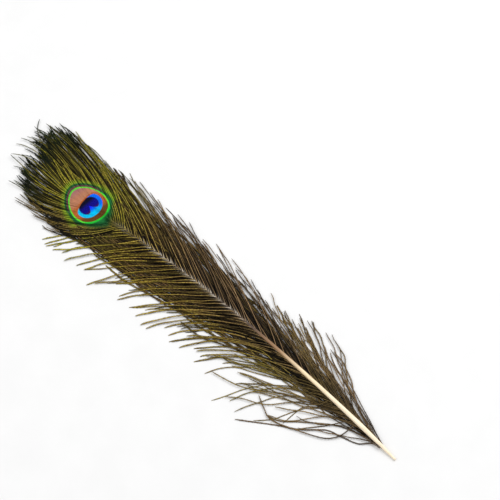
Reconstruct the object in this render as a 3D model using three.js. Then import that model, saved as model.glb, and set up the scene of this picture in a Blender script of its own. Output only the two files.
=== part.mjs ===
// A peacock feather lying on a flat surface, eye side up. Millimetres, +Z up.
// It is drawn with the quill's end at x = 0 and the eye towards +X, its left side towards +Y,
// and moved at the end so that the origin is the middle of its underside.
import * as THREE from "three";

// Shaft
const SHAFT_LENGTH = 240;
const SHAFT_RADIUS = 1.4;
const QUILL_END_RADIUS = 0.55;
const SHAFT_TIP_RADIUS = 0.18;
const WIDEST_AT = 28;
const SHAFT_TAPER_POWER = 0.75;
const SIDE_BOW = 4.8;
const SIDE_BOW_SPAN = 234;
const ARCH_HEIGHT = 3;
const SHAFT_SIDES = 10;
const SHAFT_SEGMENTS = 28;

// Clear space between neighbouring pieces
const GAP = 0.3;

// Base barbs, the long wiry ones next to the quill
const BASE_BARBS_PER_SIDE = 13;
const FIRST_BASE_BARB_AT = 10;
const LAST_BASE_BARB_AT = 58;
const BASE_BARB_RADIUS = 0.35;
const BASE_BARB_TIP_RADIUS = 0.18;
const BASE_BARB_WAVE = 1.1;
const BASE_BARB_WAVES = 1.6;
const BASE_BARB_SIDES = 5;
const BASE_BARB_SEGMENTS = 11;

// Vanes, the loose barbs between the base barbs and the eye
const VANE_START = 62;
const VANE_TEETH = 28;
const VANE_COLUMNS = 6;
const VANE_WEB_COLUMNS = 1;

// Eye vanes, from the first barb that carries the eye to the end of the shaft
const EYE_TEETH = 16;
const EYE_COLUMNS = 8;
const EYE_WEB_COLUMNS = 3;
const CROWN_TIP = [289, -5];
const CROWN_HEADING = -8;

// Every plate of barbs
const PLATE_THICKNESS = 0.9;
const DROOP_LENGTH = 15;
const ROOT_FILL = 0.75;
const TIP_FILL = 0.14;

// What differs between the two sides of the shaft. The left barbs spread and curl outwards, and
// the right ones are swept along the shaft. Angles are between a barb and the shaft, first beside
// the quill and then beside the eye; curl is how far a barb turns away from its mean direction at
// each end. The eye starts at a place along the shaft, and the fringe's tips follow an outline
// from the crown to the outermost barb, whose tip points along a heading of its own.
const SIDES = [
  {
    name: "left",
    sign: 1,
    angles: [36, 47],
    curls: [18, 12],
    lengths: [72, 49],
    lengthening: 1,
    eyeStart: 208,
    eyeRootAngle: 42,
    fringe: [CROWN_TIP, [286, 8], [281, 17], [271, 23], [257, 25.5], [243, 27.5]],
    outerHeading: 20,
  },
  {
    name: "right",
    sign: -1,
    angles: [16, 25],
    curls: [0, -9],
    lengths: [64, 88],
    lengthening: 3,
    eyeStart: 206,
    eyeRootAngle: 36,
    fringe: [CROWN_TIP, [292, -12], [297, -19], [299, -26], [293, -32]],
    outerHeading: -12,
  },
];

const MATERIALS = {
  shaft: new THREE.MeshStandardMaterial({ color: 0xe2cfa6, roughness: 0.45, metalness: 0 }),
  vane: new THREE.MeshStandardMaterial({ color: 0x6e6a2a, roughness: 0.6, metalness: 0.1 }),
  eye: new THREE.MeshStandardMaterial({ color: 0x1f6f5a, roughness: 0.4, metalness: 0.3 }),
  baseBarb: new THREE.MeshStandardMaterial({ color: 0x51351d, roughness: 0.7, metalness: 0 }),
};

const radians = THREE.MathUtils.degToRad;
const mix = THREE.MathUtils.lerp;

function shaftRadius(along) {
  if (along < WIDEST_AT) {
    const rise = Math.sin(((Math.PI / 2) * along) / WIDEST_AT);
    return mix(QUILL_END_RADIUS, SHAFT_RADIUS, rise);
  }
  const share = (along - WIDEST_AT) / (SHAFT_LENGTH - WIDEST_AT);
  return mix(SHAFT_RADIUS, SHAFT_TIP_RADIUS, share ** SHAFT_TAPER_POWER);
}

// The middle of the shaft: it bows to the right, and arches a little off the surface.
function shaftCentre(along) {
  const sideways = -SIDE_BOW * Math.sin((Math.PI * along) / SIDE_BOW_SPAN);
  const height = shaftRadius(along) + ARCH_HEIGHT * Math.sin((Math.PI * along) / SHAFT_LENGTH);
  return new THREE.Vector3(along, sideways, height);
}

function shaftHeading(along) {
  return Math.atan(((-SIDE_BOW * Math.PI) / SIDE_BOW_SPAN) * Math.cos((Math.PI * along) / SIDE_BOW_SPAN));
}

// A point beside the shaft, level with its middle, at a distance from its surface.
function besideShaft(along, side, distance) {
  const heading = shaftHeading(along);
  const outwards = side.sign * (shaftRadius(along) + distance);
  const centre = shaftCentre(along);
  return new THREE.Vector2(centre.x - outwards * Math.sin(heading), centre.y + outwards * Math.cos(heading));
}

function stepFrom(point, heading, length) {
  return new THREE.Vector2(point.x + length * Math.cos(heading), point.y + length * Math.sin(heading));
}

// The plan of a barb: it leaves its root along one heading and reaches its tip along another.
function barbPlan(root, rootHeading, tip, tipHeading) {
  const third = root.distanceTo(tip) / 3;
  return new THREE.CubicBezierCurve(
    root,
    stepFrom(root, rootHeading, third),
    stepFrom(tip, tipHeading, -third),
    tip,
  );
}

function looseBarb(along, side, distance) {
  const share = along / side.eyeStart;
  const heading = shaftHeading(along) + side.sign * radians(mix(...side.angles, share));
  const curl = side.sign * radians(mix(...side.curls, share));
  const root = besideShaft(along, side, distance);
  const tip = stepFrom(root, heading, mix(...side.lengths, share ** side.lengthening));
  return barbPlan(root, heading - curl, tip, heading + curl);
}

function eyeBarbRootAt(share, side) {
  return mix(SHAFT_LENGTH, side.eyeStart, share);
}

// An eye barb by its share of the way from the crown (0) to the outermost barb (1).
function eyeBarb(share, side) {
  const along = eyeBarbRootAt(share, side);
  const root = besideShaft(along, side, GAP);
  const outline = new THREE.SplineCurve(side.fringe.map(([x, y]) => new THREE.Vector2(x, y)));
  const tip = outline.getPoint(share);
  tip.y += (side.sign * GAP) / 2;
  const rootHeading = shaftHeading(along) + side.sign * radians(side.eyeRootAngle) * share ** 0.6;
  const tipHeading = radians(mix(CROWN_HEADING, side.outerHeading, share ** 2));
  return barbPlan(root, rootHeading, tip, tipHeading);
}

// A closed tube with a round section along a path, given as functions of the share of its length.
function taperedTube(pointAt, radiusAt, sides, segments) {
  const geometry = new THREE.CylinderGeometry(1, 1, 1, sides, segments);
  const places = geometry.getAttribute("position");
  const up = new THREE.Vector3(0, 0, 1);
  const step = 1e-3;
  for (let i = 0; i < places.count; i += 1) {
    const share = places.getY(i) + 0.5;
    const forward = pointAt(share + step).sub(pointAt(share - step)).normalize();
    const across = new THREE.Vector3().crossVectors(up, forward).normalize();
    const lift = new THREE.Vector3().crossVectors(forward, across);
    const place = pointAt(share)
      .addScaledVector(across, places.getZ(i) * radiusAt(share))
      .addScaledVector(lift, places.getX(i) * radiusAt(share));
    places.setXYZ(i, place.x, place.y, place.z);
  }
  geometry.computeVertexNormals();
  return geometry;
}

function shaftGeometry() {
  const centreAt = (share) => shaftCentre(share * SHAFT_LENGTH);
  const radiusAt = (share) => shaftRadius(share * SHAFT_LENGTH);
  return taperedTube(centreAt, radiusAt, SHAFT_SIDES, SHAFT_SEGMENTS);
}

// How much of its height over the surface a barb keeps at a distance from its root.
function droop(distance) {
  return 1 - THREE.MathUtils.smoothstep(distance, 0, DROOP_LENGTH);
}

function baseBarbGeometry(along, side) {
  const plan = looseBarb(along, side, GAP + BASE_BARB_RADIUS);
  const length = plan.getLength();
  const rootHeight = shaftCentre(along).z;
  const radiusAt = (share) => mix(BASE_BARB_RADIUS, BASE_BARB_TIP_RADIUS, share);
  const pointAt = (share) => {
    const place = plan.getPoint(share);
    const slope = plan.getTangent(THREE.MathUtils.clamp(share, 0, 1));
    const wave = BASE_BARB_WAVE * share * Math.sin(2 * Math.PI * BASE_BARB_WAVES * share);
    const height = mix(radiusAt(share), rootHeight, droop(share * length));
    return new THREE.Vector3(place.x - slope.y * wave, place.y + slope.x * wave, height);
  };
  return taperedTube(pointAt, radiusAt, BASE_BARB_SIDES, BASE_BARB_SEGMENTS);
}

// A thin plate that ends in teeth, each a lock of barbs, over a web that joins their roots.
// toothAt(share) is the plan of the barb at a share of the way along the row of teeth, and
// rootHeightAt(share) the height of the plate's underside where it starts. The plate's points lie
// on two edges for each tooth, in columns from the roots to the tips.
function toothedPlate({ teeth, columns, webColumns, toothAt, rootHeightAt, sign }) {
  const places = [];
  for (let edge = 0; edge < 2 * teeth; edge += 1) {
    const middle = (Math.floor(edge / 2) + 0.5) / teeth;
    const outwards = edge % 2 === 0 ? -0.5 : 0.5;
    for (let column = 0; column <= columns; column += 1) {
      const share = column / columns;
      const fill = mix(ROOT_FILL, TIP_FILL, share);
      const position = middle + (outwards * fill) / teeth;
      const plan = toothAt(position);
      const place = plan.getPoint(share);
      const height = Math.max(0, rootHeightAt(position)) * droop(share * plan.getLength());
      places.push(place.x, place.y, height, place.x, place.y, height + PLATE_THICKNESS);
    }
  }

  const faces = [];
  const bottom = (edge, column) => 2 * (edge * (columns + 1) + column);
  const top = (edge, column) => bottom(edge, column) + 1;
  const isSolid = (row, column) => {
    if (row < 0 || row > 2 * teeth - 2 || column < 0 || column >= columns) {
      return false;
    }
    return row % 2 === 0 || column < webColumns;
  };
  const addQuad = (a, b, c, d) => {
    faces.push(...(sign > 0 ? [a, c, b, a, d, c] : [a, b, c, a, c, d]));
  };
  const addWall = (edgeA, columnA, edgeB, columnB) => {
    addQuad(top(edgeA, columnA), top(edgeB, columnB), bottom(edgeB, columnB), bottom(edgeA, columnA));
  };
  for (let row = 0; row < 2 * teeth - 1; row += 1) {
    for (let column = 0; column < columns; column += 1) {
      if (!isSolid(row, column)) {
        continue;
      }
      const [r, c] = [row, column];
      addQuad(top(r, c), top(r + 1, c), top(r + 1, c + 1), top(r, c + 1));
      addQuad(bottom(r, c), bottom(r, c + 1), bottom(r + 1, c + 1), bottom(r + 1, c));
      if (!isSolid(r - 1, c)) {
        addWall(r, c, r, c + 1);
      }
      if (!isSolid(r + 1, c)) {
        addWall(r + 1, c + 1, r + 1, c);
      }
      if (!isSolid(r, c - 1)) {
        addWall(r + 1, c, r, c);
      }
      if (!isSolid(r, c + 1)) {
        addWall(r, c + 1, r + 1, c + 1);
      }
    }
  }
  const geometry = new THREE.BufferGeometry();
  geometry.setAttribute("position", new THREE.Float32BufferAttribute(places, 3));
  geometry.setIndex(faces);
  geometry.computeVertexNormals();
  return geometry;
}

function undersideBesideShaft(along) {
  return shaftCentre(along).z - PLATE_THICKNESS / 2;
}

function vaneGeometry(side) {
  const alongAt = (share) => mix(side.eyeStart - 1, VANE_START, share);
  return toothedPlate({
    teeth: VANE_TEETH,
    columns: VANE_COLUMNS,
    webColumns: VANE_WEB_COLUMNS,
    toothAt: (share) => looseBarb(alongAt(share), side, GAP),
    rootHeightAt: (share) => undersideBesideShaft(alongAt(share)),
    sign: side.sign,
  });
}

function eyeVaneGeometry(side) {
  return toothedPlate({
    teeth: EYE_TEETH,
    columns: EYE_COLUMNS,
    webColumns: EYE_WEB_COLUMNS,
    toothAt: (share) => eyeBarb(share, side),
    rootHeightAt: (share) => undersideBesideShaft(eyeBarbRootAt(share, side)),
    sign: side.sign,
  });
}

const feather = new THREE.Group();

function addPiece(name, geometry, material) {
  const piece = new THREE.Mesh(geometry, material);
  piece.name = name;
  feather.add(piece);
}

addPiece("shaft", shaftGeometry(), MATERIALS.shaft);
for (const side of SIDES) {
  addPiece(`${side.name}_vane`, vaneGeometry(side), MATERIALS.vane);
  addPiece(`${side.name}_eye_vane`, eyeVaneGeometry(side), MATERIALS.eye);
  for (let i = 0; i < BASE_BARBS_PER_SIDE; i += 1) {
    const along = mix(FIRST_BASE_BARB_AT, LAST_BASE_BARB_AT, i / (BASE_BARBS_PER_SIDE - 1));
    const number = String(i + 1).padStart(2, "0");
    addPiece(`${side.name}_base_barb_${number}`, baseBarbGeometry(along, side), MATERIALS.baseBarb);
  }
}

// The origin is the middle of the underside of the feather's box.
const box = new THREE.Box3().setFromObject(feather);
const middle = box.getCenter(new THREE.Vector3());
feather.position.set(-middle.x, -middle.y, -box.min.z);

export default feather;
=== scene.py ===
import math

import bpy
import numpy as np
from mathutils import Matrix, Vector


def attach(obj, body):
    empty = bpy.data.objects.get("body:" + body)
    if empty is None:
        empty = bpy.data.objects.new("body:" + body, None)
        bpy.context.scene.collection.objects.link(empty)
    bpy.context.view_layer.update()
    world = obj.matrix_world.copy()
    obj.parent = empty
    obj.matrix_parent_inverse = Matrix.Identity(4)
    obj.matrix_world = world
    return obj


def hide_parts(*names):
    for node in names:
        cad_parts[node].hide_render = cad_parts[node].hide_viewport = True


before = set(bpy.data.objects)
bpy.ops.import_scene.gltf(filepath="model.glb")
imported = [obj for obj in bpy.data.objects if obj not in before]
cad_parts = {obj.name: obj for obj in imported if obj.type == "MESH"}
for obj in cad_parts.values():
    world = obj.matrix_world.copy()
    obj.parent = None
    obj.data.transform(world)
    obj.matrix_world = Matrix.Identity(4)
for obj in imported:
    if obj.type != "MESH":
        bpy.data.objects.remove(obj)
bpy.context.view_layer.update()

bl_info = {
    "name": "Peacock Feather",
    "version": (1, 0, 0),
    "blender": (4, 5, 0),
    "location": "3D View > Sidebar > Feather",
    "description": "Builds an eyed peacock feather lying on a pale floor",
    "category": "Add Mesh",
}

# Lengths are in millimetres until a mesh is made. The feather is drawn with the quill's end at
# x = 0 and the eye towards +X, and the quill's end sits here in the part's own frame.
MILLIMETRE = 0.001
QUILL_END = (-149.552, -2.389)

# Shaft
SHAFT_LENGTH = 240.0
SHAFT_RADIUS = 1.4
QUILL_END_RADIUS = 0.55
SHAFT_TIP_RADIUS = 0.18
WIDEST_AT = 28.0
SHAFT_TAPER_POWER = 0.75
SIDE_BOW = 4.8
SIDE_BOW_SPAN = 234.0
ARCH_HEIGHT = 3.0
SHAFT_SIDES = 28
SHAFT_RINGS = 200
# As shares of the shaft's radius, and the groove's half width in radians
GROOVE_DEPTH = 0.07
GROOVE_HALF_WIDTH = 0.35
RIDGE_HEIGHT = 0.012
RIDGES = 9

# Where the barbs stand along the shaft
BASE_BARBS_PER_SIDE = 13
FIRST_BASE_BARB_AT = 10.0
LAST_BASE_BARB_AT = 58.0
VANE_START = 62.0

# Stretches of the shaft over which its barbs change, by distance from the quill's end
ROOTS_CLIMB = (88, 124)
ROOTS_CLOSE_UP = (72, 112)
ROOTS_MEET_EYE = (178, 206)
QUILL_SWEEP_ENDS = (90, 125)
QUILL_SHADE_ENDS = (80, 115)
ROOTS_TURN_PALE = (95, 125)
GOLD_GROWS = (95, 195)
BROWN_ENDS = (135, 195)
UNDER_LAYER_SHORTENS = (130, 206)
BESIDE_EYE = (182, 200)
# Up to the first place all the left vane's barbs stand out, and past the second every other one
ALL_STAND_OUT_BEFORE = 88
MORE_STAND_OUT_FROM = 190
# How far the left vane's under layer spreads from the shaft, by place along it
UNDER_EDGE = ((90, 110, 130, 190, 240), (11, 18, 24, 24, 24))

# How a root meets the shaft: how deep in its side, as a share of the radius, how far over its
# middle line, and how high above its top
ROOT_DEPTH = 0.85
ROOT_OVERLAP = 0.1
ROOT_RISE = 0.05

CROWN_TIP = (289.0, -5.0)
CROWN_HEADING = -8.0

# What differs between the two sides of the shaft. A pair is the value beside the quill and the
# value beside the eye, or the range that a random value is drawn from.
#   angles, under_angles: between a barb and the shaft, in degrees
#   curls: how far a barb turns away from its mean direction at each end, in degrees
#   lengthening: the power of the way to the eye that the lengths change by
#   pitch, closing: how far apart the roots are, and how much closer beside the eye
#   barbules, outer_barbules, under_barbules: shares of the barbules' full length
#   dark_tones: what the tone of every second barb is multiplied by
#   quill_tone, quill_gold, quill_tip_gold: shares that a barb has beside the quill
#   base_tip_gold: how golden the tip of the last base barb is
#   under_lengths: the lengths of the under layer's barbs beside the eye
#   eye_barb_share: its number of eye barbs, as a share of the setting
#   eye_under_shorter, eye_edge_brown: how much shorter the outer barbs under the eye are, and how
#   brown the outer eye barbs are
#   fringe: the outline that the eye barbs' tips reach, from the crown to the outermost
#   outer_heading: the direction of the outermost barb's tip, in degrees
#   wisps: barbs that curl out of the fringe, each with its share of the way from the crown, how
#   much longer it is and how far its tip turns
SIDES = {
    "left": {
        "sign": 1,
        "seed": 11,
        "angles": (36.0, 47.0),
        "curls": (18.0, 12.0),
        "lengths": (72.0, 49.0),
        "lengthening": 1,
        "pitch": 1.0,
        "closing": 0.85,
        "barbules": (0.75, 0.95),
        "outer_barbules": 1.0,
        "dark_tones": (0.05, 0.45),
        "least_tip_tone": 0.0,
        "quill_tone": 0.8,
        "quill_gold": 1.0,
        "quill_tip_gold": 0.9,
        "base_tip_gold": 1.0,
        "under_lengths": (34, 52),
        "under_angles": (26.0, 40.0),
        "under_barbules": 1.0,
        "under_tip_tones": (0.14, 0.65),
        "eye_start": 208.0,
        "eye_root_angle": 56.0,
        "eye_barb_share": 1.0,
        "eye_under_shorter": 6.0,
        "eye_edge_brown": 1.0,
        "fringe": [CROWN_TIP, (287, 8), (282, 17), (273, 23), (259, 26), (242, 29.5)],
        "outer_heading": 4.0,
        "tufts": 12,
        "wisps": [(0.2, 11, 52), (0.11, 14, 44), (0.04, 15, 34)],
    },
    "right": {
        "sign": -1,
        "seed": 23,
        "angles": (16.0, 22.5),
        "curls": (0.0, -14.0),
        "lengths": (64.0, 88.0),
        "lengthening": 3,
        "pitch": 1.06,
        "closing": 0.6,
        "barbules": (0.65, 0.85),
        "outer_barbules": 0.8,
        "dark_tones": (0.02, 0.2),
        "least_tip_tone": 0.3,
        "quill_tone": 0.6,
        "quill_gold": 0.2,
        "quill_tip_gold": 0.6,
        "base_tip_gold": 0.4,
        "under_lengths": (34, 76),
        "under_angles": (15.0, 24.0),
        "under_barbules": 1.15,
        "under_tip_tones": (0.14, 0.55),
        "eye_start": 206.0,
        "eye_root_angle": 48.0,
        "eye_barb_share": 0.75,
        "eye_under_shorter": 5.0,
        "eye_edge_brown": 0.0,
        "fringe": [CROWN_TIP, (292, -11), (297, -17), (299, -24), (293, -30)],
        "outer_heading": -8.0,
        "tufts": 9,
        "wisps": [(0.06, 12, 36), (0.17, 9, 30), (0.42, 7, 26), (0.66, 7, -52)],
    },
}

# The wiry strands on the left of the quill, in plan, from the first to the last
LEFT_BASE_STRANDS = [
    [(10, 1), (15, 1.8), (20.4, 6.7), (30, 9.8), (37.5, 12.1), (47.5, 20.8), (58.3, 27.8), (77.5, 40.8)],
    [(16, 1.6), (24, 2.6), (33, 5.5), (43, 12), (52, 19), (60, 25.5), (67, 27.5)],
    [(27.9, 1.2), (28.8, 6.7), (31, 12), (36.7, 17.5), (50, 23.3), (62.5, 27.7), (70, 25.5), (77.5, 22)],
    [(31.7, 1), (36.7, 7.5), (45.8, 18.3), (50, 22.9), (55.8, 25.8), (67, 27.8)],
    [(29, 1), (36, 3.4), (43.3, 7.5), (48.3, 13.3), (53.3, 20), (58, 24), (66, 27)],
    [(33, 0.6), (42, 3), (50, 6), (55, 10.5), (56.4, 18.3), (56.8, 25)],
    [(36, 0.4), (46, 4), (53, 9.5), (56.7, 15), (59.2, 20), (62.5, 26.7), (69.6, 34.8)],
    [(40, 0), (49, 3.5), (56.7, 8.3), (63.3, 15), (69.2, 21.7), (75, 25.8), (83, 30), (90, 35)],
    [(44, -0.3), (53, 3.6), (62, 8.5), (70, 16.7), (74.2, 24.2), (78.3, 31.7), (80.8, 37.6)],
    [(47, -0.5), (50, 5), (60.8, 12.1), (70, 15.4), (84.2, 22.9), (92.5, 26.3), (105.8, 29.2)],
    [(51, -0.7), (61, 4), (70, 9), (77, 17), (83, 26), (87, 34.8)],
    [(54, -0.9), (64, 3.4), (75.8, 12.5), (80.8, 17.5), (85.8, 25), (90, 33.3), (94.6, 41.3)],
    [(58, -1.1), (68, 2.6), (77, 8), (88, 13.6), (97, 18), (104, 25), (108, 32.5)],
]


def paint(red, green, blue):
    """A colour as seen on a screen, 0 to 255, as the light it reflects, 0 to 1."""
    shares = (red / 255, green / 255, blue / 255)
    return tuple(s / 12.92 if s <= 0.04045 else ((s + 0.055) / 1.055) ** 2.4 for s in shares)


def colour_setting(name, description, screen_colour):
    return bpy.props.FloatVectorProperty(
        name=name,
        description=description,
        subtype="COLOR",
        size=3,
        min=0.0,
        max=1.0,
        default=paint(*screen_colour),
    )


def length_setting(name, description, millimetres):
    return bpy.props.FloatProperty(
        name=name,
        description=description,
        subtype="DISTANCE",
        unit="LENGTH",
        min=0.0,
        precision=5,
        default=millimetres * MILLIMETRE,
    )


class ShaftSettings(bpy.types.PropertyGroup):
    quill: colour_setting("Quill", "Bare horn beside the quill's end", (252, 236, 208))
    horn: colour_setting("Horn", "Horn between the base barbs", (243, 220, 180))
    tan: colour_setting("Tan", "Horn where the vanes begin", (150, 112, 74))
    brown: colour_setting("Brown", "Horn from the middle to the eye", (70, 50, 34))


class BarbSettings(bpy.types.PropertyGroup):
    barbule_spacing: length_setting("Barbule spacing", "From one barbule to the next", 0.3)
    barbule_reach: length_setting("Barbule length", "Length of a barbule in the vanes", 0.72)
    vane_pitch: length_setting("Vane pitch", "From one vane barb's root to the next", 1.75)
    gold: colour_setting("Gold", "Lit web of a barb in the vanes", (186, 154, 54))
    glint: colour_setting("Glint", "Brightest flecks of a lit web", (218, 198, 70))
    moss: colour_setting("Moss", "Lit web of a barb near the eye", (170, 168, 44))
    bark: colour_setting("Bark", "Web of a barb beside the quill", (114, 80, 50))
    core: colour_setting("Rib", "Middle rib of a brown barb", (186, 152, 112))
    # Partly the barbules' own dark brown, partly painted shade in the gaps between the barbs
    edge: colour_setting("Edge", "Tips of the barbules", (26, 16, 6))
    root: colour_setting("Root", "Bare roots along the shaft", (214, 206, 192))
    dusk: colour_setting("Dusk", "Tips of the fringe", (20, 38, 16))


class EyeSettings(bpy.types.PropertyGroup):
    eye_barbs: bpy.props.IntProperty(
        name="Eye barbs", description="Barbs on the left side that carry the eye", default=52, min=8
    )
    ring: colour_setting("Ring", "Bright ring round the eye", (130, 240, 55))
    ring_edge: colour_setting("Ring edge", "Greener edge of the ring", (40, 205, 60))
    copper: colour_setting("Copper", "Field between the ring and the blue", (192, 132, 100))
    mauve: colour_setting("Mauve", "Field at the eye's pointed end", (172, 118, 118))
    orange: colour_setting("Orange", "Field above and below the blue", (186, 102, 46))
    umber: colour_setting("Umber", "Field on the quill's side", (110, 72, 30))
    cyan: colour_setting("Cyan", "Upper part of the blue disc", (0, 200, 244))
    azure: colour_setting("Azure", "Lower part of the blue disc", (0, 112, 246))
    violet: colour_setting("Violet", "Notch of the dark heart", (32, 30, 255))
    indigo: colour_setting("Indigo", "Middle of the dark heart", (12, 6, 135))
    ink: colour_setting("Ink", "Darkest part of the heart", (5, 4, 34))
    plum: colour_setting("Plum", "Rim of the heart's lobes", (74, 0, 62))
    halo_brown: colour_setting("Outer brown", "Band outside the ring", (112, 82, 78))
    halo_teal: colour_setting("Outer teal", "Dark band outside the brown", (36, 112, 58))
    halo_lime: colour_setting("Outer lime", "Last band before the fringe", (156, 192, 48))
    wedge: colour_setting("Wedge", "Green on the quill's side of the ring", (34, 122, 60))


class StageSettings(bpy.types.PropertyGroup):
    floor: colour_setting("Floor", "Pale floor", (231, 231, 231))
    lens: bpy.props.FloatProperty(
        name="Lens", description="Focal length on a 36 mm sensor", default=72.0, min=1.0
    )
    key_power: bpy.props.FloatProperty(
        name="Key light", description="Power of the large soft light", default=15.0, unit="POWER"
    )
    sky: bpy.props.FloatProperty(name="Sky", description="Strength of the even light", default=0.6)


# Shapes of the feather

PLAN_POINTS = 90
DROOP_LENGTH = 15.0
# The second, finer waver of a barb, and the ripple of its height
SHORT_WAVE_SHARE = 0.35
SHORT_WAVES = 2.7
RIPPLE_HEIGHT = 0.12
LOWEST_BARB = 0.12
# Below 1, the eye barbs fan out more beside the crown than further out
EYE_FAN_POWER = 0.6


def mix(low, high, share):
    return low + (high - low) * share


def smooth_step(value, low, high):
    share = np.clip((value - low) / (high - low), 0, 1)
    return share * share * (3 - 2 * share)


def change(value, stretch):
    """How far one value is through a stretch: 0 before it, 1 after it, and smooth between."""
    return float(smooth_step(value, *stretch))


def shaft_radius(along):
    rise = np.sin(math.pi / 2 * np.minimum(along, WIDEST_AT) / WIDEST_AT)
    quill = mix(QUILL_END_RADIUS, SHAFT_RADIUS, rise)
    share = np.clip((along - WIDEST_AT) / (SHAFT_LENGTH - WIDEST_AT), 0, 1)
    return np.where(
        along < WIDEST_AT, quill, mix(SHAFT_RADIUS, SHAFT_TIP_RADIUS, share**SHAFT_TAPER_POWER)
    )


def shaft_sideways(along):
    return -SIDE_BOW * np.sin(math.pi * along / SIDE_BOW_SPAN)


def shaft_height(along):
    return shaft_radius(along) + ARCH_HEIGHT * np.sin(math.pi * along / SHAFT_LENGTH)


def shaft_heading(along):
    slope = -SIDE_BOW * math.pi / SIDE_BOW_SPAN * np.cos(math.pi * along / SIDE_BOW_SPAN)
    return float(np.arctan(slope))


def beside_shaft(along, outwards):
    """A point in plan, a distance to the left of the shaft's middle line, or to its right."""
    heading = shaft_heading(along)
    return np.array(
        [
            along - outwards * math.sin(heading),
            shaft_sideways(along) + outwards * math.cos(heading),
        ]
    )


def step_from(point, heading, length):
    return point + length * np.array([math.cos(heading), math.sin(heading)])


def barb_plan(root, root_heading, tip, tip_heading):
    """Points of a curve in plan that leaves its root along one heading and ends along another."""
    third = np.linalg.norm(tip - root) / 3
    lead = step_from(root, root_heading, third)
    trail = step_from(tip, tip_heading, -third)
    t = np.linspace(0, 1, PLAN_POINTS)[:, None]
    return (
        (1 - t) ** 3 * root
        + 3 * (1 - t) ** 2 * t * lead
        + 3 * (1 - t) * t**2 * trail
        + t**3 * tip
    )


def outline_point(outline, share):
    """A point of the smooth curve through the outline's points, which it passes evenly."""
    points = np.array(outline, float)
    last = len(points) - 1
    step = min(int(share * last), last - 1)
    t = share * last - step
    before = points[max(step - 1, 0)]
    start = points[step]
    end = points[step + 1]
    after = points[min(step + 2, last)]
    start_slope = (end - before) / 2
    end_slope = (after - start) / 2
    return (
        (2 * start - 2 * end + start_slope + end_slope) * t**3
        + (3 * end - 3 * start - 2 * start_slope - end_slope) * t**2
        + start_slope * t
        + start
    )


def smooth_path(points):
    return np.array([outline_point(points, share) for share in np.linspace(0, 1, PLAN_POINTS)])


def root_of_barb(along, side, hidden=False):
    """A barb's root in plan, and its height. Roots start at the shaft's side beside the quill, and
    on top of it further up, where the hidden layers still start at its side."""
    climb = 0.0 if hidden else change(along, ROOTS_CLIMB)
    radius = float(shaft_radius(along))
    outwards = side["sign"] * mix(radius * ROOT_DEPTH, -ROOT_OVERLAP, climb)
    height = float(shaft_height(along)) + climb * (radius + ROOT_RISE)
    return beside_shaft(along, outwards), height


def loose_plan(along, side, turn, stretch, extra_curl=0.0):
    """The plan of a barb that stands free of the eye. Turn and curl are in degrees."""
    share = along / side["eye_start"]
    sign = side["sign"]
    heading = shaft_heading(along) + sign * math.radians(mix(*side["angles"], share) + turn)
    curl = sign * math.radians(mix(*side["curls"], share) + extra_curl)
    root, _ = root_of_barb(along, side)
    length = mix(*side["lengths"], share ** side["lengthening"]) * stretch
    tip = step_from(root, heading, length)
    return barb_plan(root, heading - curl, tip, heading + curl)


def eye_barb_at(share, side):
    """Where an eye barb leaves the shaft, by its share of the way from the crown (0) to the
    outermost (1)."""
    return mix(SHAFT_LENGTH, side["eye_start"], share)


def eye_plan(share, side, longer=0.0, turn=0.0, tip_share=None):
    """The plan of an eye barb, which may be longer than the fringe's outline and turn its tip. The
    tip may stand at another share of the fringe, where barbs gather in a tuft."""
    along = eye_barb_at(share, side)
    root, _ = root_of_barb(along, side)
    tip = outline_point(side["fringe"], share if tip_share is None else tip_share)
    away = math.atan2(*(tip - root)[::-1])
    tip_heading = math.radians(mix(CROWN_HEADING, side["outer_heading"], share**2))
    tip = step_from(tip, mix(tip_heading, away, 0.5), longer)
    spread = side["sign"] * math.radians(side["eye_root_angle"]) * share**EYE_FAN_POWER
    root_heading = shaft_heading(along) + spread
    return barb_plan(root, root_heading, tip, tip_heading + math.radians(turn))


def swept_plan(along, side, length, spread, leave, arrive):
    """The plan of a barb that leaves the shaft and bends to lie along it, a spread away."""
    sign = side["sign"]
    root, _ = root_of_barb(along, side, hidden=True)
    tip_sideways = shaft_sideways(min(along + length, SIDE_BOW_SPAN)) + sign * spread
    tip = np.array([root[0] + length, tip_sideways])
    root_heading = shaft_heading(along) + sign * math.radians(leave)
    return barb_plan(root, root_heading, tip, sign * math.radians(arrive))


def run_of(path):
    """How far each point of a path is from its root, along the path."""
    steps = np.linalg.norm(np.diff(path, axis=0), axis=1)
    return np.concatenate([[0.0], np.cumsum(steps)])


def points_at(path, run, at):
    """The points of a path at other distances from its root than its own, which are its run."""
    return np.column_stack([np.interp(at, run, values) for values in path.T])


def directions(path):
    """Unit vectors along a path, and level ones to its left."""
    forward = np.gradient(path, axis=0)
    forward /= np.linalg.norm(forward, axis=1)[:, None]
    leftwards = np.zeros_like(forward)
    leftwards[:, 0] = -forward[:, 1]
    leftwards[:, 1] = forward[:, 0]
    leftwards /= np.linalg.norm(leftwards, axis=1)[:, None]
    return forward, leftwards


def lay_barb(plan, root_height, rest_height, rng, wave, waves=1.5, tip_lift=0.0):
    """Gives a plan its heights and a slight waver, which grows from the root to the tip."""
    run = run_of(plan)
    share = run / run[-1]
    _, leftwards = directions(plan)
    long_phase, short_phase, ripple_phase, _ = rng.uniform(0, math.tau, 4)
    long_wave = np.sin(math.tau * waves * share + long_phase)
    short_wave = SHORT_WAVE_SHARE * np.sin(math.tau * SHORT_WAVES * waves * share + short_phase)
    waver = wave * share**1.3 * (long_wave + short_wave)
    places = plan + leftwards * waver[:, None]
    ripple = RIPPLE_HEIGHT * np.sin(math.tau * 2 * share + ripple_phase) * share
    sag = smooth_step(run, 0, DROOP_LENGTH)
    height = mix(root_height, rest_height + ripple, sag) + tip_lift * share**3
    return np.column_stack([places, np.maximum(height, LOWEST_BARB)])


def ring_turns(corners):
    return np.arange(corners) * math.tau / corners


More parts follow.
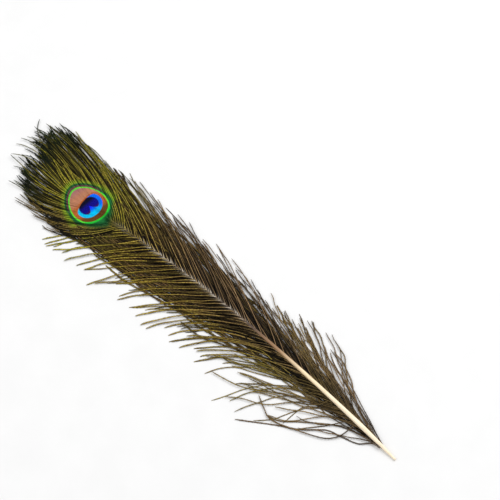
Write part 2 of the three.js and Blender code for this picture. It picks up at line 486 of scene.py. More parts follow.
def tube(middle, leftwards, upwards, radius, outline):
    """Points and faces of a tube along a path. The outline is how far each corner of a ring stands
    from its middle, as a share of the radius there."""
    corners = len(outline)
    turn = ring_turns(corners)
    around = leftwards[:, None, :] * (np.cos(turn) * outline)[None, :, None]
    around = around + upwards[:, None, :] * (np.sin(turn) * outline)[None, :, None]
    places = (middle[:, None, :] + around * radius[:, None, None]).reshape(-1, 3)
    ring, corner = np.meshgrid(np.arange(len(middle) - 1), np.arange(corners), indexing="ij")
    here = ring * corners + corner
    beside = ring * corners + (corner + 1) % corners
    quads = np.stack([here, here + corners, beside + corners, beside], axis=-1)
    return places, quads.reshape(-1, 4)


# Barbs. Their looks are numbers on each point, which the materials read: how far across from the
# rib to the barbules' tips, how bright (tone), how golden, how pale the root and how dark the tip
# of the fringe (dusk).

LOOKS = ("across", "tone", "gold", "pale", "dusk")
UPWARDS = np.array([[0.0, 0.0, 1.0]])
RIB_SIDES = 4
RIB_STEP = 1.4
RIB_TIP_SHARE = 0.25
BARBULE_ANGLE = 38.0
BARBULE_ANGLE_CHANGE = 7.0
BARBULE_SIZES = (0.85, 1.15)
BARBULE_DROP = 0.1
BARBULE_DROPS = (-0.2, 1.2)
LEAST_BARBULE = 1e-6
LOWEST_BARBULE_TIP = 0.03
# How far the barbules on the two sides are out of step, as a share of their spacing
BARBULE_STAGGER = 0.25
# The barbules begin and are full size this many bare lengths from the root, the second a little
# further out
BARBULES_BEGIN = 0.4
BARBULES_FULL = 2.2
BARBULES_FULL_AFTER = 1.0
# Half the width of a barbule at its root and at its tip, as shares of the barbules' spacing
BARBULE_ROOT_HALF = 0.55
BARBULE_TIP_HALF = 0.42
# How far across from the rib the barbules' roots count as
BARBULE_ROOT_ACROSS = 0.2
# The barbules become shorter towards a barb's tip over this length, to this share
TIP_FADE = 4.0
TIP_FADE_SHARE = 0.5
PALE_LENGTH = 2.6
# The shares of a barb between which it narrows, changes from its root's tone to its tip's, and
# turns dark
NARROWING = (0.35, 0.7)
TONE_CHANGE = (0.25, 0.55)
DUSK_CHANGE = (0.72, 0.97)
# The hidden layers have fewer and wider barbules.
UNDER_SPACING = 1.35
# Whole multiples of this, less their whole part, fill the range from 0 to 1 evenly
EVEN_SPREAD = 0.618034
# The share of the way to the middle of its tuft that a barb's tip is drawn
TUFT_GATHER = 0.22


class Barbs:
    """Collects the ribs and barbules of many barbs for one mesh."""

    def __init__(self, rng, spacing):
        self.rng = rng
        self.spacing = spacing
        self.places = []
        self.quads = []
        self.looks = {name: [] for name in LOOKS}
        self.count = 0

    def add_barb(self, path, reach, rib, tone, gold, bare, pale=0.0, dusk=0.0, narrow=1.0):
        """path holds points from root to tip. tone and gold are numbers for each end. bare is how
        much of the root has no barbules, dusk how dark the last part turns, and narrow the width
        of the outer half beside the inner half."""
        run = run_of(path)
        shades = {"tone": tone, "gold": gold, "dusk": dusk}
        self._add_rib(path, run, rib, pale, shades)
        for hand in (1, -1):
            self._add_barbules(path, run, hand, reach, bare, narrow, shades)

    def _add_rib(self, path, run, rib, pale, shades):
        total = run[-1]
        rings = max(int(total / RIB_STEP), 4)
        at = np.linspace(0, total, rings)
        middle = points_at(path, run, at)
        _, leftwards = directions(middle)
        paleness = pale * np.exp(-((at / PALE_LENGTH) ** 2))
        radius = rib * (mix(1.0, RIB_TIP_SHARE, at / total) + paleness)
        places, quads = tube(middle, leftwards, UPWARDS, radius, np.ones(RIB_SIDES))
        places[:, 2] = np.maximum(places[:, 2], 0.0)
        root_cap = np.arange(RIB_SIDES)[None, :]
        tip_cap = (rings - 1) * RIB_SIDES + np.arange(RIB_SIDES)[None, ::-1]
        quads = np.concatenate([quads, root_cap, tip_cap])
        share = np.repeat(at / total, RIB_SIDES)
        self._add(places, quads, share, 0.0, np.repeat(paleness, RIB_SIDES), **shades)

    def _add_barbules(self, path, run, hand, reach, bare, narrow, shades):
        """Flat blades of four corners on one side of the rib. hand is 1 on the left, -1 on the
        right."""
        total = run[-1]
        count = max(int(total / self.spacing), 2)
        at = (np.arange(count) + 0.5 + BARBULE_STAGGER * hand) * total / (count + 1)
        middle = points_at(path, run, at)
        forward, leftwards = directions(middle)
        size = smooth_step(at, bare * BARBULES_BEGIN, bare * BARBULES_FULL + BARBULES_FULL_AFTER)
        size = size * mix(TIP_FADE_SHARE, 1.0, smooth_step(total - at, 0, TIP_FADE))
        size = size * mix(1.0, narrow, smooth_step(at / total, *NARROWING))
        size = reach * size * self.rng.uniform(*BARBULE_SIZES, count)
        uneven = self.rng.uniform(-BARBULE_ANGLE_CHANGE, BARBULE_ANGLE_CHANGE, count)
        angle = np.radians(BARBULE_ANGLE + uneven)
        ahead = forward * (np.cos(angle) * size)[:, None]
        aside = leftwards * (hand * np.sin(angle) * size)[:, None]
        ends = middle + ahead + aside
        sinking = self.rng.uniform(*BARBULE_DROPS, count)
        drop = BARBULE_DROP * sinking * size / max(reach, LEAST_BARBULE)
        ends[:, 2] = np.maximum(ends[:, 2] - drop, LOWEST_BARBULE_TIP)
        half = forward * (self.spacing * BARBULE_ROOT_HALF)
        tip_half = forward * (self.spacing * BARBULE_TIP_HALF)
        corners = [middle - half, middle + half, ends + tip_half, ends - tip_half][::hand]
        across = [BARBULE_ROOT_ACROSS, BARBULE_ROOT_ACROSS, 1.0, 1.0][::hand]
        places = np.stack(corners, axis=1).reshape(-1, 3)
        quads = np.arange(count * 4).reshape(-1, 4)
        share = np.repeat(at / total, 4)
        self._add(places, quads, share, np.tile(across, count), 0.0, **shades)

    def _add(self, places, quads, share, across, pale, tone, gold, dusk):
        """share is how far along its barb each place is, from 0 to 1."""
        self.places.append(places)
        self.quads.append(quads + self.count)
        self.count += len(places)
        looks = {
            "across": across,
            "tone": mix(*tone, smooth_step(share, *TONE_CHANGE)),
            "gold": mix(*gold, share),
            "pale": pale,
            "dusk": dusk * smooth_step(share, *DUSK_CHANGE),
        }
        for name, values in looks.items():
            self.looks[name].append(np.broadcast_to(values, len(places)))

    def make(self, name, material):
        looks = {key: np.concatenate(values) for key, values in self.looks.items()}
        return make_piece(name, np.concatenate(self.places), np.concatenate(self.quads), material, looks)


def make_piece(name, places, quads, material, looks=None):
    """A mesh object from points in millimetres and faces of four corners."""
    shift = np.array([QUILL_END[0], QUILL_END[1], 0.0])
    in_metres = (places + shift) * MILLIMETRE
    mesh = bpy.data.meshes.new(name)
    mesh.vertices.add(len(in_metres))
    mesh.vertices.foreach_set("co", in_metres.ravel())
    mesh.loops.add(quads.size)
    mesh.loops.foreach_set("vertex_index", quads.ravel().astype(np.int32))
    mesh.polygons.add(len(quads))
    mesh.polygons.foreach_set("loop_start", np.arange(0, quads.size, 4, dtype=np.int32))
    mesh.update(calc_edges=True)
    for key, values in (looks or {}).items():
        layer = mesh.attributes.new(key, "FLOAT", "POINT")
        layer.data.foreach_set("value", values.astype(np.float32))
    low = in_metres.min(axis=0)
    size = in_metres.max(axis=0) - low
    flat = (in_metres[:, :2] - low[:2]) / size[:2]
    layout = mesh.uv_layers.new(name="OFBake")
    layout.data.foreach_set("uv", flat[quads.ravel()].ravel().astype(np.float32))
    mesh.shade_smooth()
    if mesh.validate():
        raise RuntimeError(f"{name} has faces that are not valid")
    mesh.materials.append(material)
    piece = bpy.data.objects.new(name, mesh)
    bpy.context.scene.collection.objects.link(piece)
    return piece


def finish_piece(piece, slot, *nodes):
    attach(piece, "root")
    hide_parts(*nodes)


# Materials


class Recipe:
    """Adds nodes to one material and joins them."""

    def __init__(self, name):
        self.material = bpy.data.materials.new(name)
        self.material.use_nodes = True
        self.tree = self.material.node_tree
        self.tree.nodes.clear()
        output = self.node("ShaderNodeOutputMaterial")
        self.shader = self.node("ShaderNodeBsdfPrincipled")
        self.join(self.shader.outputs[0], output.inputs["Surface"])
        in_millimetres = self.node("ShaderNodeVectorMath", "MULTIPLY_ADD")
        self.join(self.node("ShaderNodeTexCoord").outputs["Object"], in_millimetres.inputs[0])
        in_millimetres.inputs[1].default_value = (1 / MILLIMETRE,) * 3
        in_millimetres.inputs[2].default_value = (-QUILL_END[0], -QUILL_END[1], 0)
        self.place = in_millimetres.outputs[0]
        parts = self.node("ShaderNodeSeparateXYZ")
        self.join(self.place, parts.inputs[0])
        self.x, self.y, _ = parts.outputs

    def join(self, source, target):
        self.tree.links.new(source, target)

    def node(self, kind, operation=None):
        made = self.tree.nodes.new(kind)
        if operation:
            made.operation = operation
        return made

    def feed(self, socket, value):
        if isinstance(value, bpy.types.NodeSocket):
            self.join(value, socket)
        else:
            socket.default_value = value

    def maths(self, operation, *values):
        made = self.node("ShaderNodeMath", operation)
        for socket, value in zip(made.inputs, values):
            self.feed(socket, value)
        return made.outputs[0]

    def step(self, value, low, high):
        """0 below low and 1 above high, with a soft change between. Low may be the larger."""
        made = self.node("ShaderNodeMapRange")
        made.interpolation_type = "SMOOTHSTEP"
        self.feed(made.inputs["Value"], value)
        made.inputs["From Min"].default_value = min(low, high)
        made.inputs["From Max"].default_value = max(low, high)
        made.inputs["To Min"].default_value = 0.0 if low < high else 1.0
        made.inputs["To Max"].default_value = 1.0 if low < high else 0.0
        return made.outputs[0]

    def blend(self, share, first, second, kind="MIX"):
        made = self.node("ShaderNodeMix")
        made.data_type = "RGBA"
        made.blend_type = kind
        self.feed(made.inputs[0], share)
        for socket, value in ((made.inputs[6], first), (made.inputs[7], second)):
            self.feed(socket, value if isinstance(value, bpy.types.NodeSocket) else (*value, 1.0))
        return made.outputs[2]

    def shaded(self, colour, shade):
        """A colour with its three parts multiplied by the same number."""
        grey = self.node("ShaderNodeCombineColor")
        for socket in grey.inputs:
            self.join(shade, socket)
        return self.blend(1.0, colour, grey.outputs[0], "MULTIPLY")

    def bands(self, value, bands, palette, low, high):
        """Colours by a value in millimetres between low and high. Each band is a value and the name
        of the palette's colour there."""
        made = self.node("ShaderNodeValToRGB")
        share = self.maths("DIVIDE", self.maths("SUBTRACT", value, low), high - low)
        self.join(share, made.inputs[0])
        elements = made.color_ramp.elements
        while len(elements) < len(bands):
            elements.new(0.5)
        for element, (at, name) in zip(elements, bands):
            element.position = (at - low) / (high - low)
            element.color = (*getattr(palette, name), 1.0)
        return made.outputs[0]

    def look(self, name):
        made = self.node("ShaderNodeAttribute")
        made.attribute_name = name
        return made.outputs["Fac"]

    def noise(self, *fineness, detail=3.0):
        """Noise with features of about one millimetre divided by the fineness, which is one number
        or a number for each axis."""
        sized = self.node("ShaderNodeVectorMath", "MULTIPLY")
        self.join(self.place, sized.inputs[0])
        sized.inputs[1].default_value = fineness if len(fineness) == 3 else fineness * 3
        made = self.node("ShaderNodeTexNoise")
        self.join(sized.outputs[0], made.inputs["Vector"])
        made.inputs["Scale"].default_value = 1.0
        made.inputs["Detail"].default_value = detail
        return made.outputs["Fac"]

    def bump(self, height, distance):
        made = self.node("ShaderNodeBump")
        made.inputs["Distance"].default_value = distance * MILLIMETRE
        self.join(height, made.inputs["Height"])
        self.join(made.outputs[0], self.shader.inputs["Normal"])

    def finish(self, colour, roughness, metallic=0.0, specular=0.5):
        self.feed(self.shader.inputs["Base Color"], colour)
        self.feed(self.shader.inputs["Roughness"], roughness)
        self.shader.inputs["Metallic"].default_value = metallic
        self.shader.inputs["Specular IOR Level"].default_value = specular
        return self.material


HORN_BANDS = ((0, "quill"), (38, "quill"), (66, "horn"), (88, "tan"), (108, "brown"), (240, "brown"))
HORN_STREAK = (0.72, 0.62, 0.5)
# How far the horn's colours waver along the shaft
HORN_WAVER = 18.0


def horn_material(shaft):
    recipe = Recipe("Shaft horn")
    waver = recipe.noise(0.12, 1.5, 1.5)
    from_middle = recipe.maths("SUBTRACT", recipe.x, HORN_WAVER / 2)
    along = recipe.maths("MULTIPLY_ADD", waver, HORN_WAVER, from_middle)
    colour = recipe.bands(along, HORN_BANDS, shaft, 0, SHAFT_LENGTH)
    streaks = recipe.noise(0.06, 6.0, 6.0, detail=4.0)
    darker = recipe.blend(1.0, colour, HORN_STREAK, "MULTIPLY")
    colour = recipe.blend(recipe.step(streaks, 0.48, 0.72), colour, darker)
    recipe.bump(streaks, 0.05)
    roughness = recipe.maths("MULTIPLY_ADD", streaks, 0.2, 0.28)
    return recipe.finish(colour, roughness)


BARB_METALLIC = 0.3
BARB_SPECULAR = 0.12
BARB_GRAIN = 4.0
BARB_GRAIN_DEPTH = 0.03
# Where the barbs turn mossier, by place along the feather
MOSS_AT_QUILL = (112, 80)
MOSS_AT_EYE = (188, 222)
GLINTING_SPECKLES = (0.49, 0.58)
# Where the rib begins and where the web turns dark, by how far across a barb a place is
RIB_BEGINS = (0.3, 0.1)
WEB_DARKENS = (0.3, 0.85)


def barb_colour(recipe, barbs):
    """The colour of a barb away from the eye."""
    across = recipe.look("across")
    gold = recipe.look("gold")
    near_quill = recipe.maths("MULTIPLY", recipe.step(recipe.x, *MOSS_AT_QUILL), 0.8)
    mossy = recipe.maths("ADD", recipe.step(recipe.x, *MOSS_AT_EYE), near_quill)
    lit = recipe.blend(mossy, barbs.gold, barbs.moss)
    speckle = recipe.noise(1.1, detail=4.0)
    lit = recipe.blend(recipe.step(speckle, *GLINTING_SPECKLES), lit, barbs.glint)
    web = recipe.blend(gold, barbs.bark, lit)
    rib = recipe.blend(gold, barbs.core, lit)
    web = recipe.blend(recipe.step(across, *RIB_BEGINS), web, rib)
    # Towards the barbules' tips the web turns to the dark edge colour: partly their own dark brown,
    # partly painted shade in the gaps between barbs.
    web = recipe.blend(recipe.step(across, *WEB_DARKENS), web, barbs.edge)
    shade = recipe.maths("MULTIPLY_ADD", speckle, 1.5, 0.25)
    tone = recipe.maths("MULTIPLY_ADD", recipe.look("tone"), 0.95, 0.02)
    web = recipe.shaded(web, recipe.maths("MULTIPLY", shade, tone))
    web = recipe.blend(recipe.look("pale"), web, barbs.root)
    return recipe.blend(recipe.look("dusk"), web, barbs.dusk)


def vane_material(barbs):
    """One material for all the loose barbs, made for the first piece that asks for it."""
    name = "Vane barbs"
    if name in bpy.data.materials:
        return bpy.data.materials[name]
    recipe = Recipe(name)
    colour = barb_colour(recipe, barbs)
    recipe.bump(recipe.noise(BARB_GRAIN), BARB_GRAIN_DEPTH)
    return recipe.finish(colour, 0.5, BARB_METALLIC, BARB_SPECULAR)


# The eye's outlines. The ring is an egg, blunt towards the quill; the blue disc is an ellipse cut
# by a circle, and the dark heart is an ellipse with a notch on the quill's side. A distance from
# an oval is measured in its mean radius.
RING_MIDDLE = (236.5, 0.72)
RING_HALF_SIZE = (13.84, 11.22)
RING_MEAN_RADIUS = 12.0
RING_POINTEDNESS = 0.177
RING_TILT = -0.128
RING_WAVER = 0.7
BLUE_MIDDLE = (234.76, 0.79)
BLUE_HALF_SIZE = (7.72, 8.94)
BLUE_MEAN_RADIUS = 8.3
BLUE_TILT = 0.39
BLUE_CUT_MIDDLE = (221.14, -2.48)
BLUE_CUT_RADIUS = 19.13
BLUE_ROUNDING = 1.2
HEART_MIDDLE = (235.0, 1.0)
HEART_HALF_SIZE = (5.8, 6.6)
HEART_MEAN_RADIUS = 5.5
HEART_TILT = 0.2
NOTCH_APEX = (234.8, 1.0)
NOTCH_SLOPE = 0.55
NOTCH_ROUNDING = 3.8

# The eye's colours. Round the ring they go by the distance outwards from its middle line: towards
# the feather's tip, on the ring's flanks, and towards the quill.
HALO_RANGE = (-1, 9)
RING_BANDS = ((-0.4, "ring_edge"), (-0.1, "ring"), (0.05, "ring"), (0.26, "ring_edge"))
TIP_SIDE_BANDS = (
    *RING_BANDS,
    (0.5, "halo_brown"),
    (1.6, "halo_brown"),
    (2.1, "halo_teal"),
    (2.8, "halo_teal"),
    (3.5, "halo_lime"),
    (6.5, "halo_lime"),
)
FLANK_BANDS = (
    *RING_BANDS,
    (0.55, "halo_teal"),
    (1.3, "halo_teal"),
    (1.9, "wedge"),
    (2.7, "halo_lime"),
    (6.5, "halo_lime"),
)
QUILL_SIDE_BANDS = (
    (-0.5, "ring_edge"),
    (0.3, "ring_edge"),
    (0.8, "wedge"),
    (1.8, "wedge"),
    (3.0, "halo_teal"),
    (7.0, "halo_teal"),
)
# Inside the ring they go by the distance from its middle towards its pointed end.
FIELD_RANGE = (-14, 14)
FIELD_BANDS = (
    (-11.0, "umber"),
    (-8.0, "umber"),
    (-5.0, "orange"),
    (1.0, "orange"),
    (4.5, "copper"),
    (8.0, "copper"),
    (12.5, "mauve"),
)
# In the heart they go by the place along the feather.
HEART_RANGE = (229, 241)
HEART_BANDS = ((230.6, "plum"), (232.6, "indigo"), (235.4, "indigo"), (237.8, "ink"))
# The soft edges between the eye's colours, each from none of the next colour to all of it. The
# first two go by the distance ahead of the ring's middle, and the ring's and the fringe's by the
# distance outside the ring's middle line.
TIP_SIDE_EDGE = (0.0, 6.0)
QUILL_SIDE_EDGE = (-7.0, -11.5)
RING_EDGE = (-0.68, -0.4)
FRINGE_EDGE = (7.0, 2.6)
# By the distance outside the blue disc, and for its orange rim by the place along the feather too
BLUE_EDGE = (0.25, -0.25)
BLUE_RIM = (1.3, 0.5)
BLUE_RIM_ALONG = (236.5, 238.5)
# By the distance outside the heart, and by the distance from its notch's apex
HEART_EDGE = (0.3, -0.35)
AZURE_ROUND_NOTCH = (6.0, 3.0)
VIOLET_IN_NOTCH = (4.0, 0.8)


def turned(recipe, middle, tilt=0.0):
    """Coordinates about a middle, turned by a tilt."""
    dx = recipe.maths("SUBTRACT", recipe.x, middle[0])
    dy = recipe.maths("SUBTRACT", recipe.y, middle[1])
    c, s = math.cos(tilt), math.sin(tilt)
    ahead = recipe.maths("MULTIPLY_ADD", dy, s, recipe.maths("MULTIPLY", dx, c))
    aside = recipe.maths("MULTIPLY_ADD", dy, c, recipe.maths("MULTIPLY", dx, -s))
    return ahead, aside


def length_of(recipe, first, second):
    squares = recipe.maths("MULTIPLY_ADD", first, first, recipe.maths("MULTIPLY", second, second))
    return recipe.maths("SQRT", squares)


def outside_oval(recipe, lengthwise, crosswise, mean_radius):
    """The distance outside an oval, from coordinates that are shares of its half size."""
    beyond = recipe.maths("SUBTRACT", length_of(recipe, lengthwise, crosswise), 1.0)
    return recipe.maths("MULTIPLY", beyond, mean_radius)


def ellipse_distance(recipe, middle, half_size, tilt, mean_radius):
    ahead, aside = turned(recipe, middle, tilt)
    lengthwise = recipe.maths("DIVIDE", ahead, half_size[0])
    crosswise = recipe.maths("DIVIDE", aside, half_size[1])
    return outside_oval(recipe, lengthwise, crosswise, mean_radius)


def ring_distance(recipe, ahead, aside):
    """The distance outwards from the middle line of the egg-shaped ring, with a slight waver."""
    lengthwise = recipe.maths("DIVIDE", ahead, RING_HALF_SIZE[0])
    narrowing = recipe.maths("MULTIPLY_ADD", lengthwise, -RING_POINTEDNESS, 1.0)
    crosswise = recipe.maths("DIVIDE", recipe.maths("DIVIDE", aside, RING_HALF_SIZE[1]), narrowing)
    even = outside_oval(recipe, lengthwise, crosswise, RING_MEAN_RADIUS)
    even = recipe.maths("SUBTRACT", even, RING_WAVER / 2)
    return recipe.maths("MULTIPLY_ADD", recipe.noise(1.8), RING_WAVER, even)


def eye_colour(recipe, eye):
    """The eye's colours, and how far each place is beyond the middle line of its green ring."""
    ahead, aside = turned(recipe, RING_MIDDLE, RING_TILT)
    outwards = ring_distance(recipe, ahead, aside)
    tip_side = recipe.bands(outwards, TIP_SIDE_BANDS, eye, *HALO_RANGE)
    flanks = recipe.bands(outwards, FLANK_BANDS, eye, *HALO_RANGE)
    quill_side = recipe.bands(outwards, QUILL_SIDE_BANDS, eye, *HALO_RANGE)
    outside = recipe.blend(recipe.step(ahead, *TIP_SIDE_EDGE), flanks, tip_side)
    towards_quill = recipe.step(ahead, *QUILL_SIDE_EDGE)
    outside = recipe.blend(towards_quill, outside, quill_side)
    inside = recipe.bands(ahead, FIELD_BANDS, eye, *FIELD_RANGE)
    field = recipe.blend(recipe.step(outwards, *RING_EDGE), inside, outside)

    # Behind the ring the eye's colours end sooner, the further a place is from the shaft.
    from_axis = recipe.maths("MULTIPLY_ADD", recipe.maths("ABSOLUTE", aside), 0.45, -1.6)
    behind_ring = recipe.maths("MULTIPLY", towards_quill, recipe.step(outwards, 0.3, 1.2))
    beyond = recipe.maths("MULTIPLY_ADD", from_axis, behind_ring, outwards)
    return blue_disc_over(recipe, eye, field), beyond


def blue_disc_over(recipe, eye, field):
    """The blue disc with its dark heart, over the colours of the field round it."""
    oval = ellipse_distance(recipe, BLUE_MIDDLE, BLUE_HALF_SIZE, BLUE_TILT, BLUE_MEAN_RADIUS)
    from_cut = length_of(recipe, *turned(recipe, BLUE_CUT_MIDDLE))
    cut = recipe.maths("SUBTRACT", from_cut, BLUE_CUT_RADIUS)
    blue = recipe.maths("SMOOTH_MAX", oval, cut, BLUE_ROUNDING)
    rim = recipe.blend(recipe.step(blue, *BLUE_RIM), field, eye.orange)
    field = recipe.blend(recipe.step(recipe.x, *BLUE_RIM_ALONG), field, rim)
    upper = recipe.maths("MULTIPLY_ADD", recipe.x, -0.55, recipe.maths("ADD", recipe.y, 129.0))
    sea = recipe.blend(recipe.step(upper, -4.0, 3.5), eye.azure, eye.cyan)

    heart = ellipse_distance(recipe, HEART_MIDDLE, HEART_HALF_SIZE, HEART_TILT, HEART_MEAN_RADIUS)
    into_notch, beside_notch = turned(recipe, NOTCH_APEX)
    opening = recipe.maths("MULTIPLY", into_notch, -NOTCH_SLOPE)
    notch = recipe.maths("SUBTRACT", opening, recipe.maths("ABSOLUTE", beside_notch))
    heart = recipe.maths("SMOOTH_MAX", heart, notch, NOTCH_ROUNDING)
    from_apex = length_of(recipe, into_notch, beside_notch)
    sea = recipe.blend(recipe.step(from_apex, *AZURE_ROUND_NOTCH), sea, eye.azure)
    sea = recipe.blend(recipe.step(from_apex, *VIOLET_IN_NOTCH), sea, eye.violet)
    core = recipe.bands(recipe.x, HEART_BANDS, eye, *HEART_RANGE)
    sea = recipe.blend(recipe.step(heart, *HEART_EDGE), sea, core)
    return recipe.blend(recipe.step(blue, *BLUE_EDGE), field, sea)


def eye_material(barbs, eye, name, painted_shade=0.0):
    """The last argument is how much darker the places outside the ring are painted, as shade under the
    eye's top barbs.
    """
    recipe = Recipe(name)
    plain = barb_colour(recipe, barbs)
    pattern, outwards = eye_colour(recipe, eye)
    # Painted shade: the outer parts of the barbules are darkened, a little inside the ring and much more
    # outside it, as shade in the lines between the barbs.
    outer_share = recipe.step(outwards, -0.2, 2.5)
    depth = recipe.maths("MULTIPLY_ADD", outer_share, -0.6, -0.3)
    between_ribs = recipe.step(recipe.look("across"), 0.35, 0.95)
    lines = recipe.maths("MULTIPLY_ADD", between_ribs, depth, 1.0)
    grain = recipe.maths("MULTIPLY_ADD", recipe.noise(2.0, detail=4.0), 0.9, 0.6)
    darkening = recipe.maths("MULTIPLY_ADD", recipe.look("tone"), 0.75, -0.65)
    alternation = recipe.maths("MULTIPLY_ADD", darkening, outer_share, 1.0)
    shade = recipe.maths("MULTIPLY", recipe.maths("MULTIPLY", lines, grain), alternation)
    pattern = recipe.shaded(pattern, shade)
    colour = recipe.blend(recipe.step(outwards, *FRINGE_EDGE), plain, pattern)
    # Painted shade: outside the ring the colour is darkened by that share, as shade under the eye's top
    # barbs.
    if painted_shade:
        darker = recipe.blend(1.0, colour, (1 - painted_shade,) * 3, "MULTIPLY")
        colour = recipe.blend(recipe.step(outwards, -0.5, 3.0), colour, darker)
    recipe.bump(recipe.noise(BARB_GRAIN), BARB_GRAIN_DEPTH)
    return recipe.finish(colour, 0.42, BARB_METALLIC, BARB_SPECULAR)


def stage_material(stage):
    recipe = Recipe("Floor")
    fleck = recipe.noise(0.05)
    darker = [0.97 * part for part in stage.floor]
    shade = recipe.blend(recipe.step(fleck, 0.2, 0.8), stage.floor, darker)
    return recipe.finish(shade, 0.7, specular=0.2)


# Operators


class FEATHER_OT_shaft(bpy.types.Operator):
    """Makes the shaft, from the quill's end to the middle of the eye"""

    bl_idname = "feather.shaft"
    bl_label = "Shaft"

    def execute(self, context):
        along = np.linspace(0, SHAFT_LENGTH, SHAFT_RINGS)
        middle = np.column_stack([along, shaft_sideways(along), shaft_height(along)])
        forward, leftwards = directions(middle)
        upwards = np.cross(forward, leftwards)
        turn = ring_turns(SHAFT_SIDES)
        from_top = (turn - math.pi / 2) / GROOVE_HALF_WIDTH
        groove = 1 - GROOVE_DEPTH * np.exp(-(from_top**2))
        ridges = 1 - RIDGE_HEIGHT * (1 - np.sin(RIDGES * turn))
        places, quads = tube(middle, leftwards, upwards, shaft_radius(along), groove * ridges)
        quads = np.concatenate([quads, self.cap(0, 1), self.cap(SHAFT_RINGS - 1, -1)])
        piece = make_piece("shaft_horn", places, quads, horn_material(context.scene.feather_shaft))
        finish_piece(piece, "shaft_keratin", "shaft")
        return {"FINISHED"}

    def cap(self, ring, order):
        """Faces that close the shaft at a ring, in strips from side to side."""
        first = ring * SHAFT_SIDES
        last = first + SHAFT_SIDES - 1
        strips = range(SHAFT_SIDES // 2 - 1)
        return np.array([[first + k, first + k + 1, last - k - 1, last - k][::order] for k in strips])


# How many thinner strands a base barb has beside it: the first few, and the others
FEWER_THIN_STRANDS = 3
THIN_STRANDS = 6
BARBS_WITH_FEWER = 4


class FEATHER_OT_base_barbs(bpy.types.Operator):
    """Makes the long wiry barbs beside the quill, each with several thinner ones"""

    bl_idname = "feather.base_barbs"
    bl_label = "Base Barbs"

    def execute(self, context):
        barbs = context.scene.feather_barbs
        material = vane_material(barbs)
        for side_name, side in SIDES.items():
            rng = np.random.default_rng(side["seed"])
            for index in range(BASE_BARBS_PER_SIDE):
                strands = Barbs(rng, barbs.barbule_spacing / MILLIMETRE)
                share = index / (BASE_BARBS_PER_SIDE - 1)
                along = mix(FIRST_BASE_BARB_AT, LAST_BASE_BARB_AT, share)
                if side_name == "left":
                    plan = smooth_path(LEFT_BASE_STRANDS[index])
                    self.add_strand(strands, rng, plan, share, side, tones=(0.6, 0.9), wave=0.25)
                else:
                    plan = loose_plan(along, side, rng.uniform(-4, 3), rng.uniform(0.8, 1.0))
                    self.add_strand(strands, rng, plan, share, side, tones=(0.4, 0.9), wave=1.2)
                count = FEWER_THIN_STRANDS if index < BARBS_WITH_FEWER else THIN_STRANDS
                for extra in range(count):
                    spreads = extra % 2 == 1
                    plan = self.thin_plan(rng, along, side, spreads)
                    tones = (0.3, 0.9) if spreads else (0.0, 0.2)
                    self.add_strand(strands, rng, plan, share, side, tones, wave=0.9)
                piece = strands.make(f"{side_name}_base_lock_{index + 1:02d}", material)
                finish_piece(piece, "base_barbs", f"{side_name}_base_barb_{index + 1:02d}")
        return {"FINISHED"}

    def thin_plan(self, rng, along, side, spreads):
        """The plan of a thinner strand, which lies close to the shaft or spreads out from it."""
        at = along + rng.uniform(-1.5, 3.0)
        length = rng.uniform(42, 78)
        spread = rng.uniform(1.5, 6.0)
        leave = rng.uniform(3, 9)
        arrive = rng.uniform(-4, 16)
        if spreads:
            length = rng.uniform(34, 62)
            spread = rng.uniform(8, 30)
            leave = rng.uniform(12, 26)
            arrive = spread * rng.uniform(0.6, 1.6)
        return swept_plan(at, side, length, spread, leave, arrive)

    def add_strand(self, strands, rng, plan, share, side, tones, wave):
        _, root_height = root_of_barb(plan[0][0], side)
        rest_height = rng.uniform(0.25, 1.2)
        path = lay_barb(plan, root_height, rest_height, rng, wave, waves=rng.uniform(0.9, 1.8))
        gold_tip = mix(0.1, side["base_tip_gold"], share) * rng.uniform(0.4, 1)
        tone = rng.uniform(*tones)
        strands.add_barb(
            path,
            reach=rng.uniform(0.45, 0.65),
            rib=0.25,
            tone=(0.3 * tone, tone),
            gold=(0.3 * share, gold_tip),
            bare=1.6,
        )


# Each vane draws its random numbers from its side's seed and this one
VANE_SEED = 100
# Neighbouring barbs share a streak's tone, over this much of the shaft
STREAK_WIDTH = 2.6
STREAKS = 200
# How much further apart the roots are beside the quill, in the visible layer and the one under it
VANE_OPENING = 1.9
UNDER_OPENING = 2.8
# The under layer begins before the visible one and ends before it, with its roots closer together
UNDER_STARTS_BEFORE = 6
UNDER_ENDS_BEFORE = 2
UNDER_PITCH = 0.5
UNDER_CLOSING = 0.65


